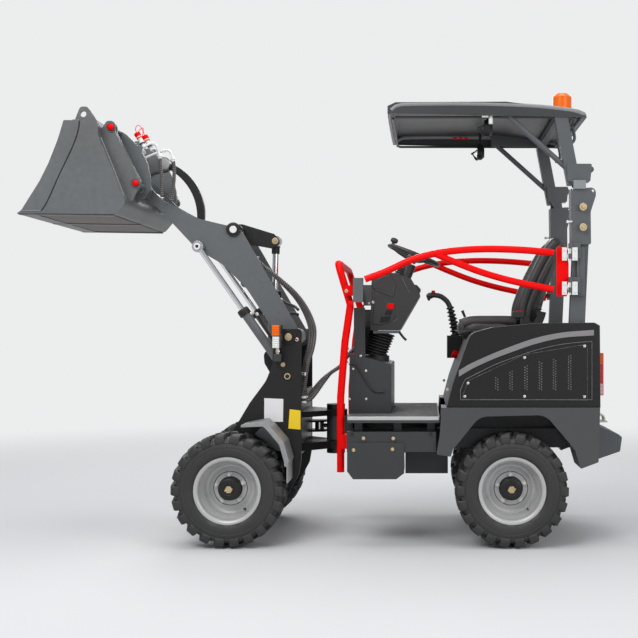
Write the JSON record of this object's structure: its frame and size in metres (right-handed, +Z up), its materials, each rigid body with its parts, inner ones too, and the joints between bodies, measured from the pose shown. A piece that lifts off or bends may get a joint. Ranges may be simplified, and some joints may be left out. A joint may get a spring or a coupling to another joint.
{
  "type": "articulated yard loader",
  "caption": "Compact articulated wheel loader: raised tilt-linkage boom with a wide earth bucket, open operator's seat with side bars and a folding roof, rear engine.",
  "frame": {"origin": "on the ground under the articulation pin, midway between the wheels", "axes": "+X forward to the bucket, +Y to the machine's left, +Z up"},
  "size_m": [3.0882, 1.04, 2.4],
  "materials": {
    "machine_grey": "powder coat, satin, scuffed at edges",
    "black_paint": "satin black paint",
    "hood_black": "fine textured satin black",
    "red_paint": "gloss red powder coat",
    "rim_silver": "silver wheel paint",
    "tyre_rubber": "dull black tyre rubber",
    "engine_casting": "as cast, painted dark grey",
    "floor_plate": "ribbed mat with a metal edge",
    "black_plastic": "fine moulded texture",
    "boot_rubber": "matt moulded rubber",
    "seat_vinyl": "black vinyl with sewn channels",
    "mudguard_rubber": "matt black sheet",
    "roof_plastic": "dark grey moulded sheet",
    "lamp_red": "clear red lens",
    "lamp_amber": "clear amber lens",
    "rod_chrome": "hard chromed and polished",
    "pin_steel": "turned steel, greased",
    "hose_rubber": "black hose in a spiral wrap"
  },
  "bodies": {
    "rear_frame": {"rear_frame": "machine_grey", "rear_axle": "black_paint", "engine": "engine_casting", "engine_hood": "hood_black", "rear_fenders": "machine_grey", "footplate": "floor_plate", "entry_steps": "machine_grey", "counterweight": "machine_grey", "front_guard": "red_paint", "latch_boxes": "machine_grey", "console": "machine_grey", "dash": "black_plastic", "dash_hoses": "hose_rubber", "bellows": "boot_rubber", "seat_cushion": "seat_vinyl", "seat_back": "seat_vinyl", "side_console": "black_plastic", "joystick": "black_plastic", "rops_posts": "machine_grey", "tail_lamps": "lamp_red"},
    "steering_wheel": {"steering_wheel": "black_plastic"},
    "canopy": {"rops_frame": "machine_grey", "canopy_roof": "roof_plastic", "beacon": "lamp_amber", "work_lamps": "black_paint"},
    "side_guard_left": {"side_guard_left": "red_paint"},
    "side_guard_right": {"side_guard_right": "red_paint"},
    "wheel_rear_left": {"tyre_rear_left": "tyre_rubber", "wheel_rear_left": "rim_silver"},
    "wheel_rear_right": {"tyre_rear_right": "tyre_rubber", "wheel_rear_right": "rim_silver"},
    "steer_barrel": {"steer_barrel": "black_paint"},
    "steer_rod": {"steer_rod": "rod_chrome"},
    "front_frame": {"front_tower": "black_paint", "articulation_pin": "black_paint", "front_axle": "black_paint", "front_mudguards": "mudguard_rubber", "front_lamps": "black_plastic", "tower_hoses": "hose_rubber"},
    "wheel_front_left": {"tyre_front_left": "tyre_rubber", "wheel_front_left": "rim_silver"},
    "wheel_front_right": {"tyre_front_right": "tyre_rubber", "wheel_front_right": "rim_silver"},
    "boom": {"boom": "machine_grey", "boom_hoses": "hose_rubber"},
    "lift_barrels": {"lift_barrels": "black_paint"},
    "lift_rods": {"lift_rods": "rod_chrome"},
    "tilt_barrel": {"tilt_barrel": "black_paint"},
    "tilt_rod": {"tilt_rod": "rod_chrome"},
    "crank_pin": {"crank_pin": "pin_steel"},
    "bellcrank": {"bellcrank": "black_paint"},
    "tip_pin": {"tip_pin": "pin_steel"},
    "coupler": {"quick_coupler": "machine_grey", "coupler_hoses": "hose_rubber", "bucket": "machine_grey"},
    "link_pin": {"link_pin": "pin_steel"},
    "tilt_link": {"tilt_link": "black_paint"}
  },
  "joints": [
    {"name": "articulation", "type": "hinge", "parent": "rear_frame", "child": "front_frame", "pos_m": [0, 0, 0.559], "axis": [0, 0, 1], "range_deg": [-32, 32]},
    {"name": "steering_wheel", "type": "hinge", "parent": "rear_frame", "child": "steering_wheel", "pos_m": [-0.418, 0, 1.487], "axis": [-0.3746, 0, 0.9272], "continuous": true},
    {"name": "canopy_fold", "type": "hinge", "parent": "rear_frame", "child": "canopy", "pos_m": [-1.293, 0, 1.619], "axis": [0, -1, 0], "range_deg": [0, 160]},
    {"name": "side_guard_left_swing", "type": "hinge", "parent": "rear_frame", "child": "side_guard_left", "pos_m": [-1.222, 0.505, 1.4], "axis": [0, 0, 1], "range_deg": [0, 95]},
    {"name": "side_guard_right_swing", "type": "hinge", "parent": "rear_frame", "child": "side_guard_right", "pos_m": [-1.222, -0.505, 1.4], "axis": [0, 0, -1], "range_deg": [0, 95]},
    {"name": "rear_left_axle", "type": "hinge", "parent": "rear_frame", "child": "wheel_rear_left", "pos_m": [-0.93, 0.412, 0.292], "axis": [0, 1, 0], "continuous": true},
    {"name": "rear_right_axle", "type": "hinge", "parent": "rear_frame", "child": "wheel_rear_right", "pos_m": [-0.93, -0.412, 0.292], "axis": [0, 1, 0], "continuous": true},
    {"name": "front_left_axle", "type": "hinge", "parent": "front_frame", "child": "wheel_front_left", "pos_m": [0.507, 0.412, 0.292], "axis": [0, 1, 0], "continuous": true},
    {"name": "front_right_axle", "type": "hinge", "parent": "front_frame", "child": "wheel_front_right", "pos_m": [0.507, -0.412, 0.292], "axis": [0, 1, 0], "continuous": true},
    {"name": "steer_barrel_swing", "type": "hinge", "parent": "rear_frame", "child": "steer_barrel", "pos_m": [-0.42, -0.12, 0.559], "axis": [0, 0, 1], "range_deg": [-8.5, 8.5]},
    {"name": "steer_rod_slide", "type": "slide", "parent": "steer_barrel", "child": "steer_rod", "axis": [0.9874, -0.1584, 0], "range_m": [-0.1015, 0.1015]},
    {"name": "boom_lift", "type": "hinge", "parent": "front_frame", "child": "boom", "pos_m": [0.226, 0, 1.066], "axis": [0, -1, 0], "range_deg": [-100, 4]},
    {"name": "lift_barrel_swing", "type": "hinge", "parent": "front_frame", "child": "lift_barrels", "pos_m": [0.231, 0, 0.86], "axis": [0, -1, 0], "range_deg": [-98.3, 4.41]},
    {"name": "lift_rod_slide", "type": "slide", "parent": "lift_barrels", "child": "lift_rods", "axis": [0.5742, 0, 0.8187], "range_m": [-0.3157, 0.0136]},
    {"name": "crank_carry", "type": "hinge", "parent": "boom", "child": "crank_pin", "pos_m": [0.53, 0, 1.637], "axis": [0, -1, 0], "range_deg": [-75, 3.48]},
    {"name": "crank_tilt", "type": "hinge", "parent": "crank_pin", "child": "bellcrank", "pos_m": [0.53, 0, 1.637], "axis": [0, -1, 0], "range_deg": [-16.25, 22.55]},
    {"name": "tip_level", "type": "hinge", "parent": "boom", "child": "tip_pin", "pos_m": [1, 0, 1.838], "axis": [0, -1, 0], "range_deg": [-4.5, 100.5]},
    {"name": "bucket_tilt", "type": "hinge", "parent": "tip_pin", "child": "coupler", "pos_m": [1, 0, 1.838], "axis": [0, 1, 0], "range_deg": [-25, 35]},
    {"name": "link_carry", "type": "hinge", "parent": "coupler", "child": "link_pin", "pos_m": [0.935, 0, 2.01], "axis": [0, -1, 0], "range_deg": [-113.5, 5.02]},
    {"name": "link_tilt", "type": "hinge", "parent": "link_pin", "child": "tilt_link", "pos_m": [0.935, 0, 2.01], "axis": [0, -1, 0], "range_deg": [-17, 23.6]},
    {"name": "tilt_barrel_swing", "type": "hinge", "parent": "front_frame", "child": "tilt_barrel", "pos_m": [0.345, 0, 0.962], "axis": [0, -1, 0], "range_deg": [-113, 5]},
    {"name": "tilt_rod_slide", "type": "slide", "parent": "tilt_barrel", "child": "tilt_rod", "axis": [-0.0239, 0, 0.9997], "range_m": [-0.0755, 0.0542]}
  ],
  "couplings": [
    {"joint": "steer_barrel_swing", "follows": "articulation", "ratio": 0.25},
    {"joint": "steer_rod_slide", "follows": "articulation", "m_per_rad": 0.18},
    {"joint": "lift_barrel_swing", "follows": "boom_lift", "ratio": 0.978},
    {"joint": "lift_rod_slide", "follows": "boom_lift", "m_per_rad": 0.1803},
    {"joint": "crank_carry", "follows": "boom_lift", "ratio": 0.745},
    {"joint": "crank_tilt", "follows": "bucket_tilt", "ratio": 0.63},
    {"joint": "tip_level", "follows": "boom_lift", "ratio": -1},
    {"joint": "link_carry", "follows": "boom_lift", "ratio": 1.13},
    {"joint": "link_tilt", "follows": "bucket_tilt", "ratio": 0.66},
    {"joint": "tilt_barrel_swing", "follows": "boom_lift", "ratio": 1.125},
    {"joint": "tilt_rod_slide", "follows": "bucket_tilt", "m_per_rad": -0.122}
  ]
}
